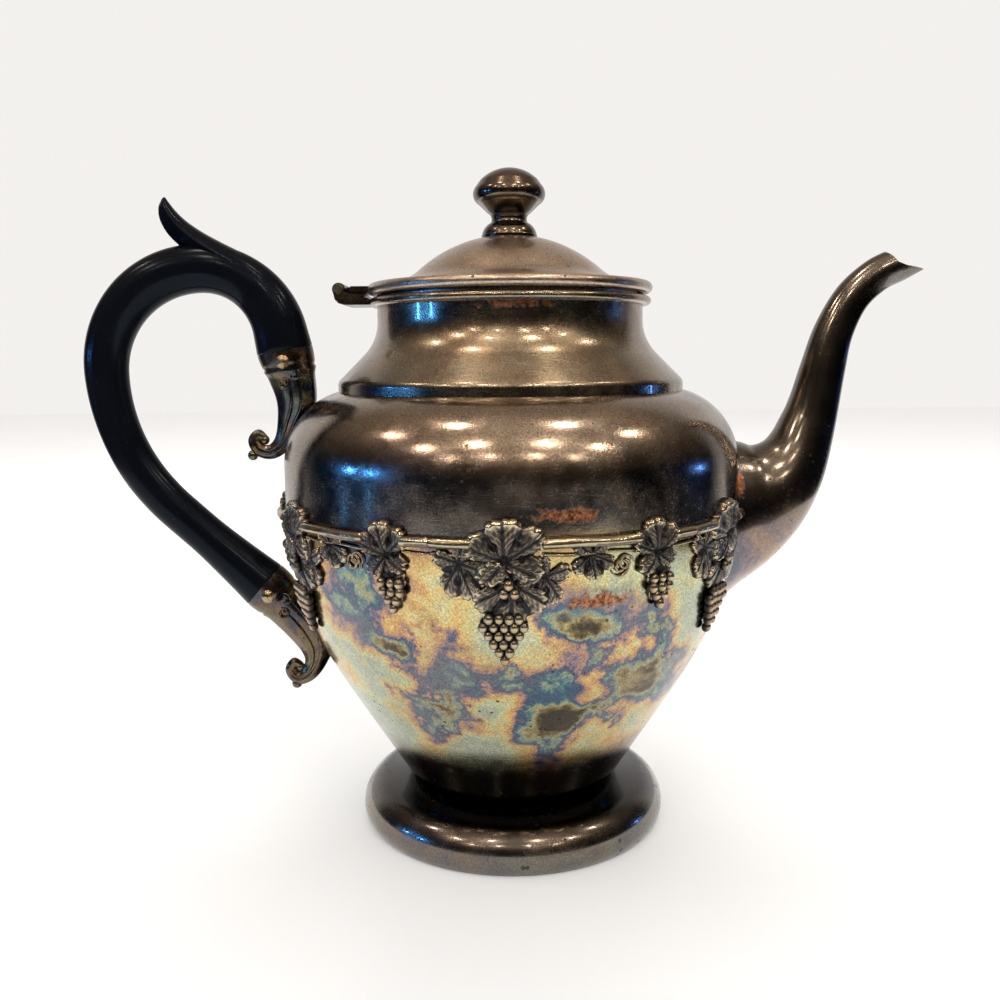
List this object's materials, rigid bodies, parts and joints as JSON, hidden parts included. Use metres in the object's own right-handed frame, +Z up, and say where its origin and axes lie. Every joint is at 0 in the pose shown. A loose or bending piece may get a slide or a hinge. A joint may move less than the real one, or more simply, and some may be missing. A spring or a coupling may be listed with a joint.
{
  "type": "teapot",
  "caption": "Footed silver-plated teapot with a hinged domed lid, swan-neck spout, black loop handle and a grapevine border round the belly.",
  "frame": {"origin": "centre of the foot's flat lower edge, on the pot's axis, at the table", "axes": "+Z up from the table, +X towards the spout, -X towards the handle"},
  "size_m": [0.2531, 0.1414, 0.1984],
  "materials": {
    "silver_plate": "polished",
    "vine_silver": "satin",
    "cast_silver": "satin",
    "pin_metal": "satin",
    "black_grip": "satin"
  },
  "bodies": {
    "pot": {"foot": "silver_plate", "bowl": "silver_plate", "neck_collar": "silver_plate", "mouth_rim": "silver_plate", "spout": "silver_plate", "vine_section_1": "vine_silver", "vine_section_2": "vine_silver", "vine_section_3": "vine_silver", "vine_section_4": "vine_silver", "vine_section_5": "vine_silver", "vine_section_6": "vine_silver", "handle_grip": "black_grip", "upper_handle_socket": "cast_silver", "lower_handle_socket": "cast_silver", "upper_handle_pin": "pin_metal", "lower_handle_pin": "pin_metal", "hinge_pot_leaf": "silver_plate", "hinge_pin": "pin_metal"},
    "lid": {"lid": "silver_plate", "lid_bezel": "silver_plate", "hinge_lid_leaf": "silver_plate", "finial": "silver_plate", "finial_washer": "pin_metal", "finial_nut": "pin_metal"}
  },
  "joints": [
    {"name": "lid_hinge", "type": "hinge", "parent": "pot", "child": "lid", "pos_m": [-0.05, 0, 0.16311], "axis": [0, -1, 0], "range_deg": [0, 100]}
  ]
}
